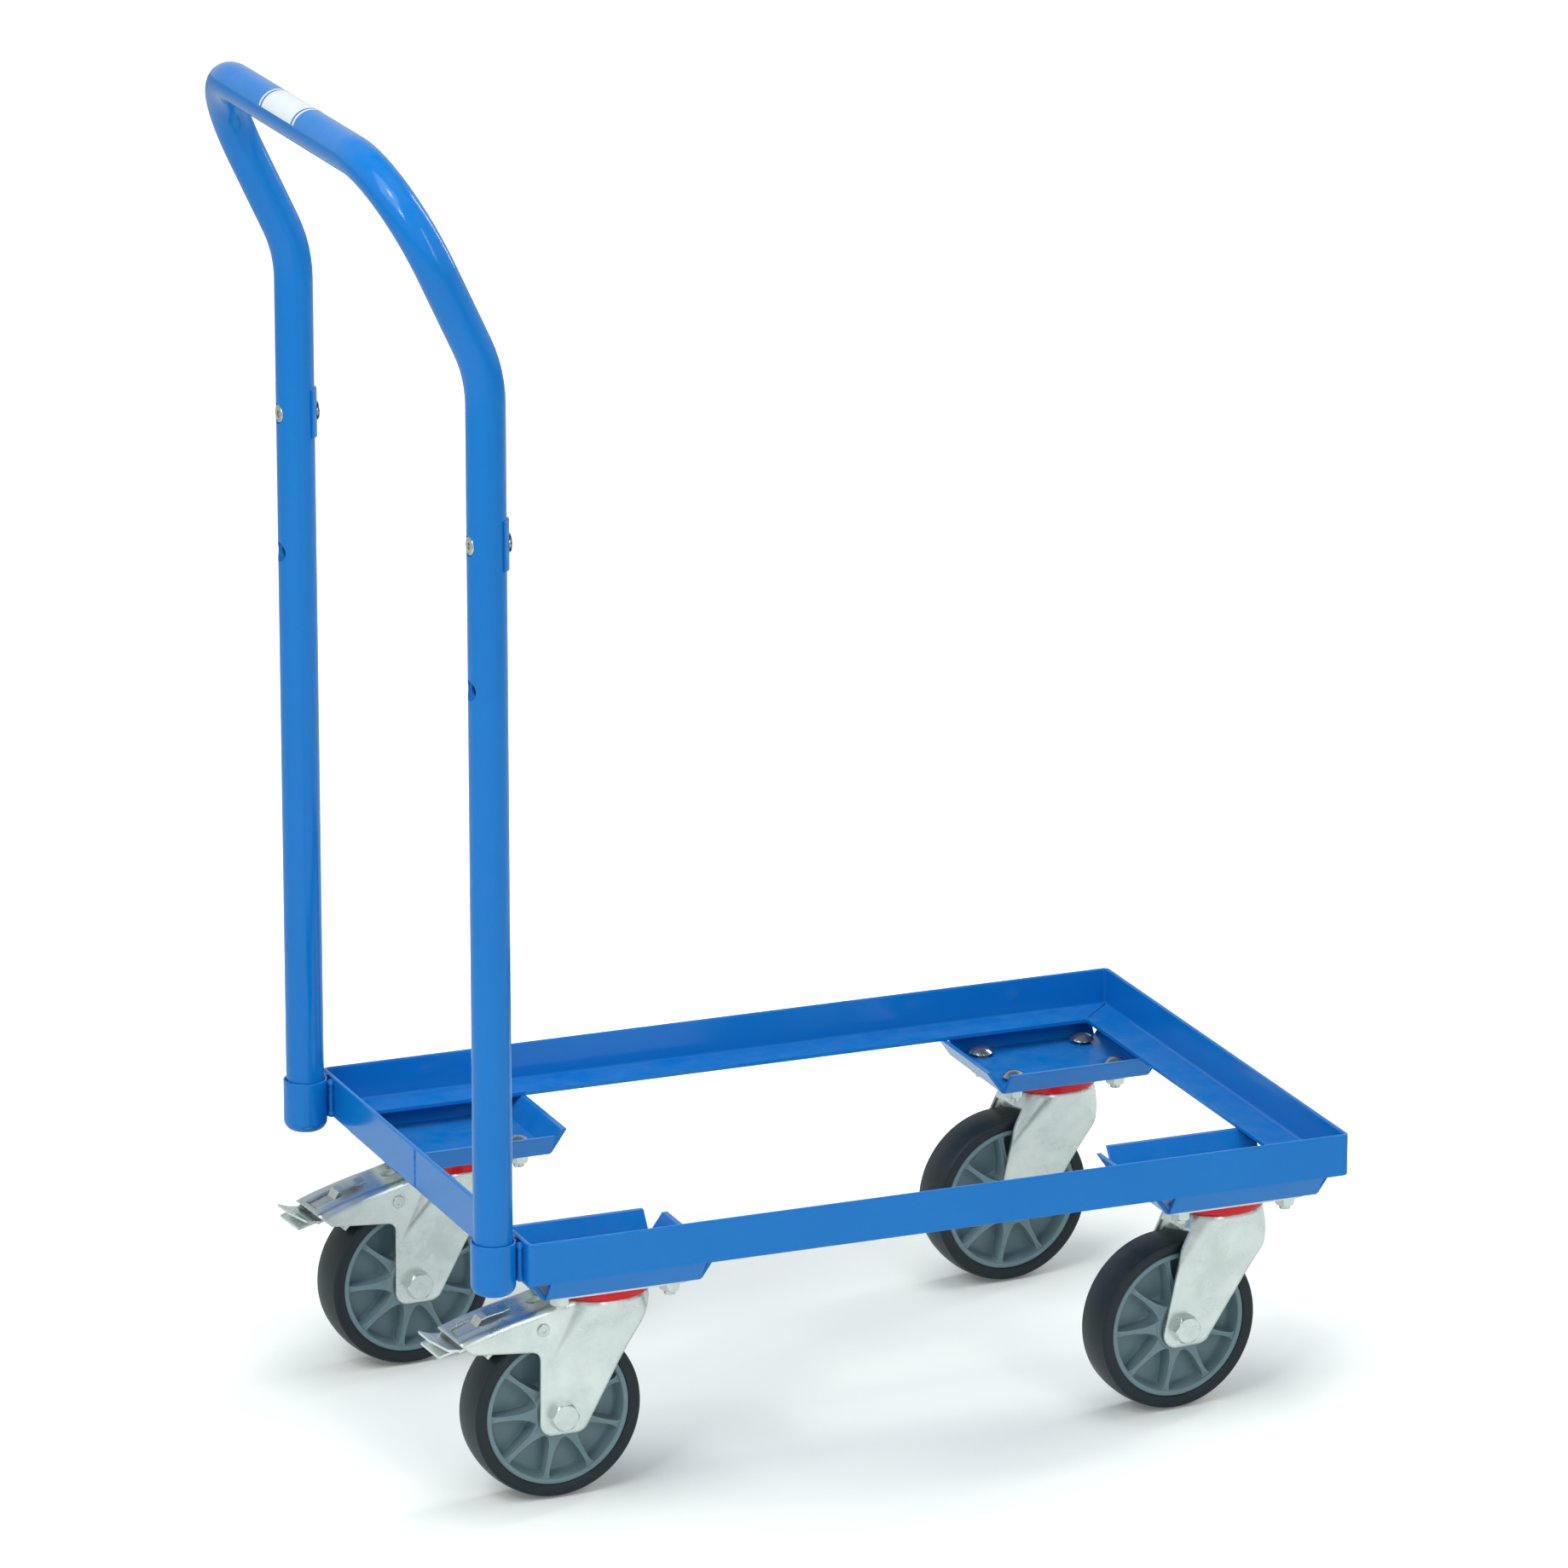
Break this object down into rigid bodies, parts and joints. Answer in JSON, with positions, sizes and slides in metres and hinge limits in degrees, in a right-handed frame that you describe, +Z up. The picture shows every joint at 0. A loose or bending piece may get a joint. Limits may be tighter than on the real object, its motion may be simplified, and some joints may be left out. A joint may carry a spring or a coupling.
{
  "type": "euro box dolly",
  "caption": "Open angle-steel box dolly on swivel casters with pedal brakes at the rear and a plug-in tubular push bar.",
  "frame": {"origin": "on the floor, under the middle of the bounding box", "axes": "+Z up, +X to the front of the dolly, push bar at -X, +Y to the left of a person pushing"},
  "size_m": [0.7066, 0.411, 0.9541],
  "materials": {
    "blue_paint": "glossy blue powder coat",
    "zinc": "bright zinc plating",
    "bright_steel": "zinc plated fasteners",
    "red_plastic": "moulded",
    "grey_plastic": "moulded polypropylene",
    "tyre": "thermoplastic rubber",
    "white_film": "blank label film"
  },
  "bodies": {
    "chassis": {"angle_frame": "blue_paint", "weld_beads": "blue_paint", "socket_right": "blue_paint", "socket_left": "blue_paint", "king_pins": "zinc", "plate_bolts": "bright_steel", "plate_nuts": "zinc", "tray_rear_right": "blue_paint", "caster_plate_rear_right": "zinc", "tray_rear_left": "blue_paint", "caster_plate_rear_left": "zinc", "tray_front_right": "blue_paint", "caster_plate_front_right": "zinc", "tray_front_left": "blue_paint", "caster_plate_front_left": "zinc"},
    "push_bar": {"push_bar": "blue_paint", "saddle_pads": "blue_paint", "handle_screws": "bright_steel", "rivet_nuts": "bright_steel", "grip_label": "white_film"},
    "pedal_rear_right": {"brake_pedal_rear_right": "zinc"},
    "swivel_rear_right": {"fork_rear_right": "zinc", "dust_ring_rear_right": "red_plastic", "swivel_balls_rear_right": "bright_steel", "axle_bolt_rear_right": "zinc", "axle_nut_rear_right": "zinc", "axle_sleeve_rear_right": "bright_steel", "pivot_rivets_rear_right": "bright_steel", "brake_spring_rear_right": "bright_steel"},
    "wheel_rear_right": {"wheel_centre_rear_right": "grey_plastic", "tyre_rear_right": "tyre"},
    "pedal_rear_left": {"brake_pedal_rear_left": "zinc"},
    "swivel_rear_left": {"fork_rear_left": "zinc", "dust_ring_rear_left": "red_plastic", "swivel_balls_rear_left": "bright_steel", "axle_bolt_rear_left": "zinc", "axle_nut_rear_left": "zinc", "axle_sleeve_rear_left": "bright_steel", "pivot_rivets_rear_left": "bright_steel", "brake_spring_rear_left": "bright_steel"},
    "wheel_rear_left": {"wheel_centre_rear_left": "grey_plastic", "tyre_rear_left": "tyre"},
    "swivel_front_right": {"fork_front_right": "zinc", "dust_ring_front_right": "red_plastic", "swivel_balls_front_right": "bright_steel", "axle_bolt_front_right": "zinc", "axle_nut_front_right": "zinc", "axle_sleeve_front_right": "bright_steel"},
    "wheel_front_right": {"wheel_centre_front_right": "grey_plastic", "tyre_front_right": "tyre"},
    "swivel_front_left": {"fork_front_left": "zinc", "dust_ring_front_left": "red_plastic", "swivel_balls_front_left": "bright_steel", "axle_bolt_front_left": "zinc", "axle_nut_front_left": "zinc", "axle_sleeve_front_left": "bright_steel"},
    "wheel_front_left": {"wheel_centre_front_left": "grey_plastic", "tyre_front_left": "tyre"}
  },
  "joints": [
    {"name": "push_bar_lift", "type": "slide", "parent": "chassis", "child": "push_bar", "axis": [0, 0, 1], "range_m": [0, 0.06]},
    {"name": "swivel_rear_right", "type": "hinge", "parent": "chassis", "child": "swivel_rear_right", "pos_m": [-0.1832, -0.144, 0.1445], "axis": [0, 0, 1], "continuous": true},
    {"name": "roll_rear_right", "type": "hinge", "parent": "swivel_rear_right", "child": "wheel_rear_right", "pos_m": [-0.22018, -0.14529, 0.0625], "axis": [-0.0349, 0.9994, 0], "continuous": true},
    {"name": "brake_rear_right", "type": "hinge", "parent": "swivel_rear_right", "child": "pedal_rear_right", "pos_m": [-0.23367, -0.14576, 0.1258], "axis": [0.0349, -0.9994, 0], "range_deg": [0, 5]},
    {"name": "swivel_rear_left", "type": "hinge", "parent": "chassis", "child": "swivel_rear_left", "pos_m": [-0.1832, 0.144, 0.1445], "axis": [0, 0, 1], "continuous": true},
    {"name": "roll_rear_left", "type": "hinge", "parent": "swivel_rear_left", "child": "wheel_rear_left", "pos_m": [-0.22011, 0.14142, 0.0625], "axis": [-0.0698, 0.9976, 0], "continuous": true},
    {"name": "brake_rear_left", "type": "hinge", "parent": "swivel_rear_left", "child": "pedal_rear_left", "pos_m": [-0.23358, 0.14048, 0.1258], "axis": [0.0698, -0.9976, 0], "range_deg": [0, 5]},
    {"name": "swivel_front_right", "type": "hinge", "parent": "chassis", "child": "swivel_front_right", "pos_m": [0.2788, -0.144, 0.1445], "axis": [0, 0, 1], "continuous": true},
    {"name": "roll_front_right", "type": "hinge", "parent": "swivel_front_right", "child": "wheel_front_right", "pos_m": [0.242, -0.14787, 0.0625], "axis": [-0.1045, 0.9945, 0], "continuous": true},
    {"name": "swivel_front_left", "type": "hinge", "parent": "chassis", "child": "swivel_front_left", "pos_m": [0.2788, 0.144, 0.1445], "axis": [0, 0, 1], "continuous": true},
    {"name": "roll_front_left", "type": "hinge", "parent": "swivel_front_left", "child": "wheel_front_left", "pos_m": [0.24194, 0.14078, 0.0625], "axis": [-0.0872, 0.9962, 0], "continuous": true}
  ]
}
